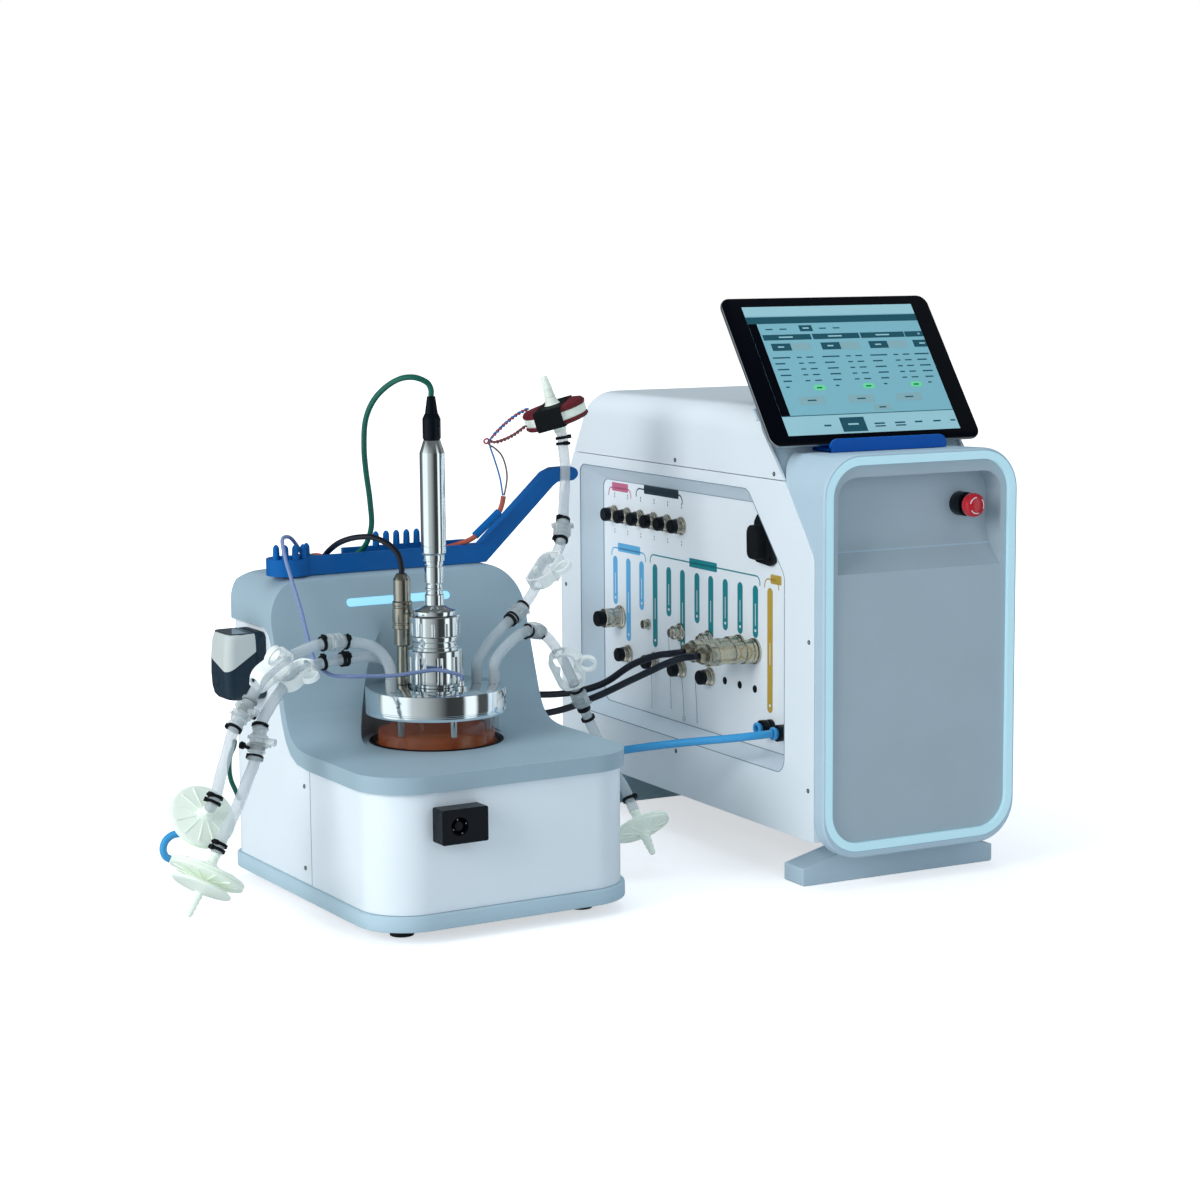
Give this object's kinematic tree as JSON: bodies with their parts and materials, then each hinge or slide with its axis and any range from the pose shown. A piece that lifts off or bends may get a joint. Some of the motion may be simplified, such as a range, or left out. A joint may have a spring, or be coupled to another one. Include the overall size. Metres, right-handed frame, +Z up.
{
  "type": "bench bioreactor",
  "caption": "Bench bioreactor: a docked glass vessel with steel lid, probe and vent filters, and a control tower with connector field, stop button and tablet.",
  "frame": {"origin": "on the bench, under the middle of the docking station and the tower together", "axes": "+Z up, -Y towards the user's side with the vessel and the tablet, +X from the docking station to the tower"},
  "size_m": [0.8433, 0.5446, 0.5527],
  "materials": {
    "bed_fibre": "matte",
    "black_plastic": "satin",
    "blue_lacquer": "gloss",
    "broth": "clear",
    "clear_glass": "clear",
    "clear_hose": "satin",
    "cream_plastic": "satin",
    "dark_plastic": "matte",
    "filter_plastic": "satin",
    "gas_blue": "gloss",
    "green_sheath": "satin",
    "grey_moulding": "satin",
    "heater_wrap": "matte",
    "light_guide": "gloss",
    "nickel": "satin",
    "orange_sheath": "matte",
    "plinth_grey": "satin",
    "polished_steel": "polished",
    "red_plastic": "gloss",
    "rubber_black": "matte",
    "satin_steel": "satin",
    "tower_grey": "satin",
    "violet_tube": "satin",
    "white_panel": "satin"
  },
  "bodies": {
    "station_and_tower": {"station_plinth": "plinth_grey", "station_front_shell": "white_panel", "station_top_moulding": "grey_moulding", "station_status_light": "light_guide", "station_rear_shell": "white_panel", "front_socket_box": "black_plastic", "vessel_seat": "satin_steel", "vessel_glass": "clear_glass", "vessel_seal_ring": "rubber_black", "bed_basket": "satin_steel", "carrier_bed": "bed_fibre", "culture_liquid": "broth", "vessel_lid": "polished_steel", "lid_clamp_nut": "polished_steel", "probe_cap_nut": "polished_steel", "probe_holder": "polished_steel", "probe_body": "polished_steel", "probe_gland": "green_sheath", "lid_sensor": "nickel", "cable_tray": "blue_lacquer", "pump_body": "dark_plastic", "tower_body": "white_panel", "tower_roof": "white_panel", "tower_bezel": "white_panel", "tower_light_ring": "light_guide", "tower_side_panel": "white_panel", "tower_front_panel": "tower_grey", "connector_plate": "white_panel", "power_plug_1": "nickel", "power_plug_2": "nickel", "port_cover": "rubber_black", "tower_front_foot": "tower_grey", "tower_rear_foot": "dark_plastic", "tablet": "black_plastic", "tablet_rest": "blue_lacquer", "hose_left_1": "clear_hose", "hose_left_2": "clear_hose", "hose_right_1": "clear_hose", "hose_right_2": "clear_hose", "coupling_left_a": "clear_glass", "coupling_left_b": "clear_glass", "pinch_clamp_left": "cream_plastic", "pinch_clamp_right": "cream_plastic", "pinch_clamp_lower": "cream_plastic", "filter_left_a": "filter_plastic", "filter_left_b": "filter_plastic", "filter_right": "filter_plastic", "filter_heated": "heater_wrap", "cable_sensor": "black_plastic", "cable_probe": "green_sheath", "cable_heater": "orange_sheath", "tube_sample": "violet_tube", "cable_power_1": "black_plastic", "cable_power_2": "black_plastic", "tube_gas": "gas_blue"},
    "stop_button": {"estop_button": "red_plastic"},
    "pump_lid": {"pump_cover": "cream_plastic"},
    "pump_roller_head": {"pump_rotor": "satin_steel"},
    "stirrer": {"impeller": "polished_steel"},
    "stirrer_drive": {"drive_magnet": "satin_steel"}
  },
  "joints": [
    {"name": "stop_press", "type": "slide", "parent": "station_and_tower", "child": "stop_button", "axis": [0.0469, 0.9989, 0], "range_m": [0, 0.004], "stiffness_N_per_m": 1500, "springref_m": -0.001},
    {"name": "pump_lid_flip", "type": "hinge", "parent": "station_and_tower", "child": "pump_lid", "pos_m": [-0.33319, 0.03896, 0.2503], "axis": [0, 1, 0], "range_deg": [0, 75]},
    {"name": "pump_spin", "type": "hinge", "parent": "station_and_tower", "child": "pump_roller_head", "pos_m": [-0.34558, 0.03896, 0.214], "axis": [1, 0, 0], "continuous": true},
    {"name": "drive_spin", "type": "hinge", "parent": "station_and_tower", "child": "stirrer_drive", "pos_m": [-0.19109, -0.07404, 0.037], "axis": [0, 0, 1], "continuous": true},
    {"name": "stirrer_spin", "type": "hinge", "parent": "station_and_tower", "child": "stirrer", "pos_m": [-0.19109, -0.07404, 0.054], "axis": [0, 0, 1], "continuous": true}
  ],
  "couplings": [
    {"joint": "stirrer_spin", "follows": "drive_spin", "ratio": 1}
  ]
}
